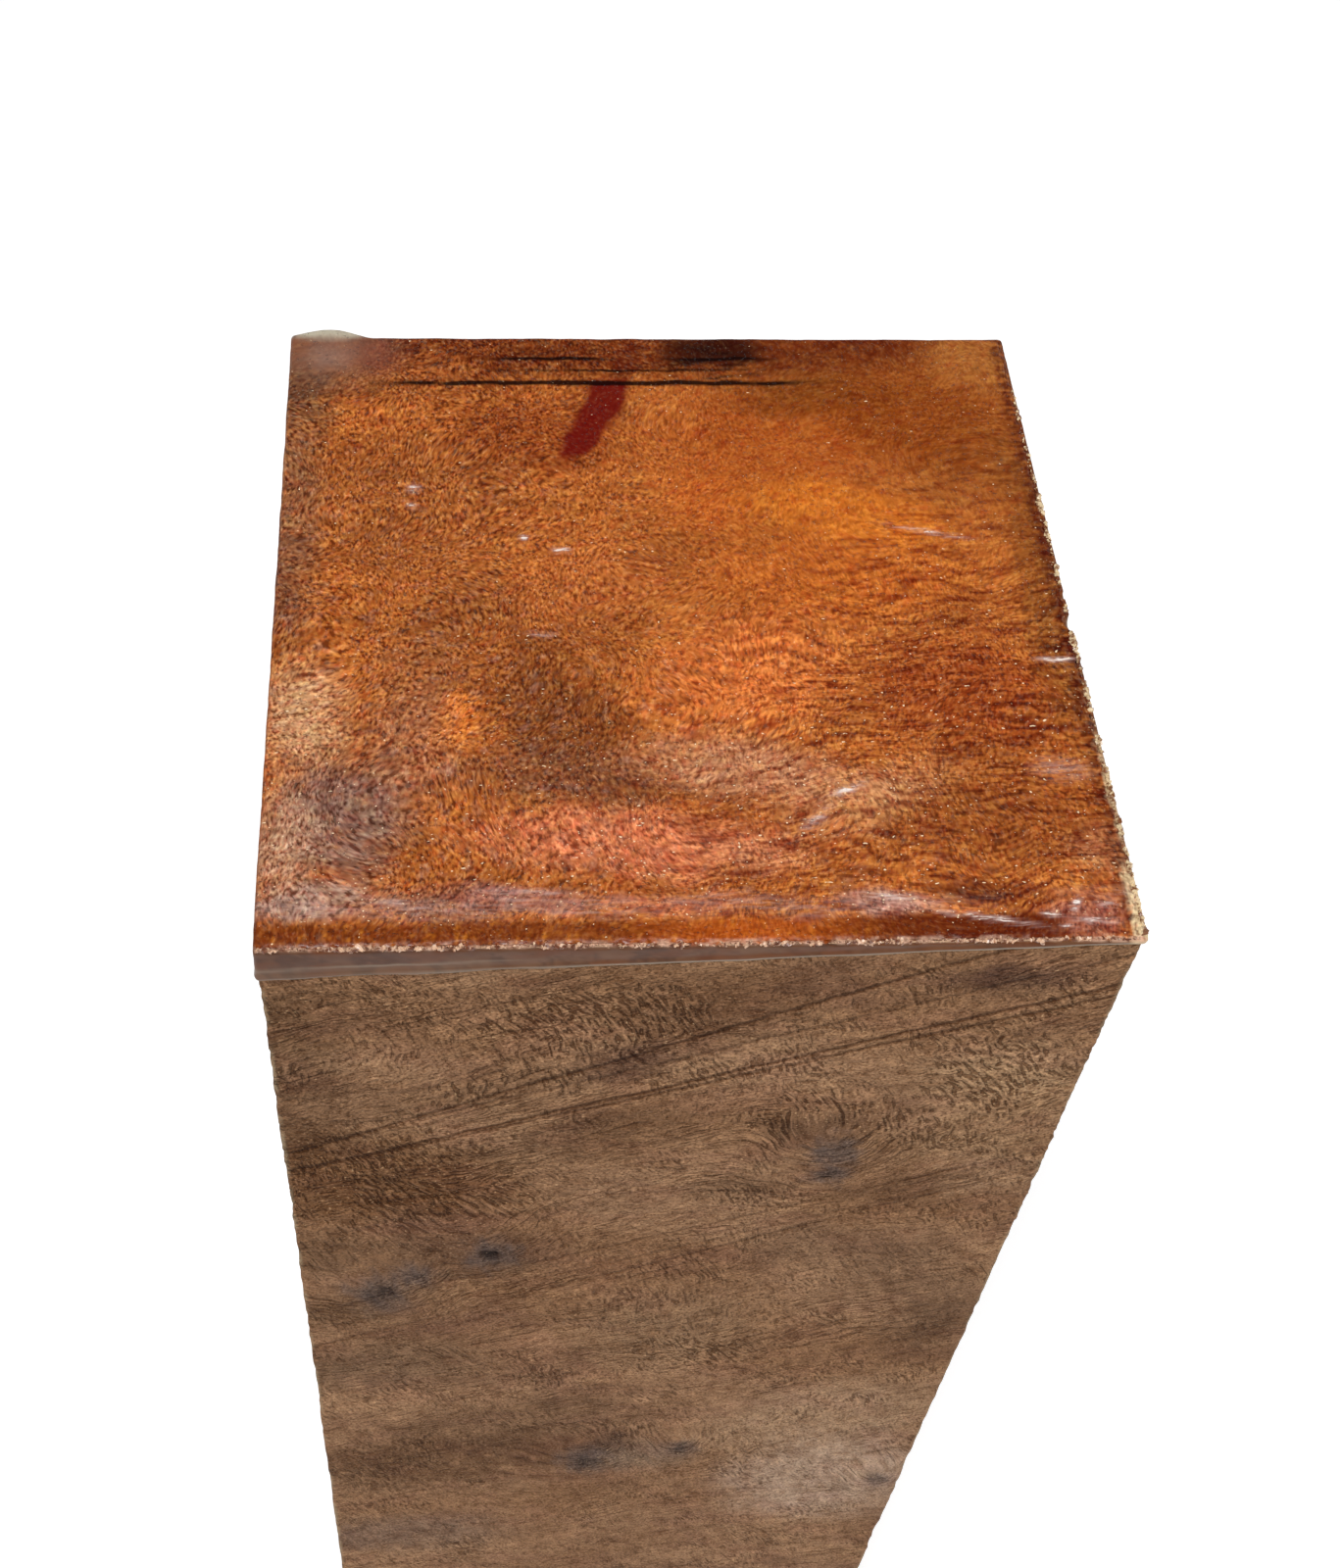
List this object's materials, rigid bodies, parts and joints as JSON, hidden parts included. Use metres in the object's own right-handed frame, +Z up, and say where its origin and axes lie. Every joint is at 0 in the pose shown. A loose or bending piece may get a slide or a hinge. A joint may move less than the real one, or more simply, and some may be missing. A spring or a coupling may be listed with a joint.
{
  "type": "wood turning blank",
  "caption": "Square burl turning blank that stands on end, rough sawn on its long sides, with both end-grain faces sealed in a dipped coat of clear wax.",
  "frame": {"origin": "middle of the lower sealed end, where the blank stands on the floor", "axes": "+Z up the lathe axis to the upper sealed end, -Y out of the front face, +X to the right of it"},
  "size_m": [0.0768, 0.0783, 0.3058],
  "materials": {
    "burl_wood": "rough sawn, matt",
    "clear_wax": "clear wax over wet-looking end grain, glossy and a little lumpy"
  },
  "bodies": {
    "root": {"burl_blank": "burl_wood", "wax_seal_head": "clear_wax", "wax_seal_foot": "clear_wax"}
  },
  "joints": []
}
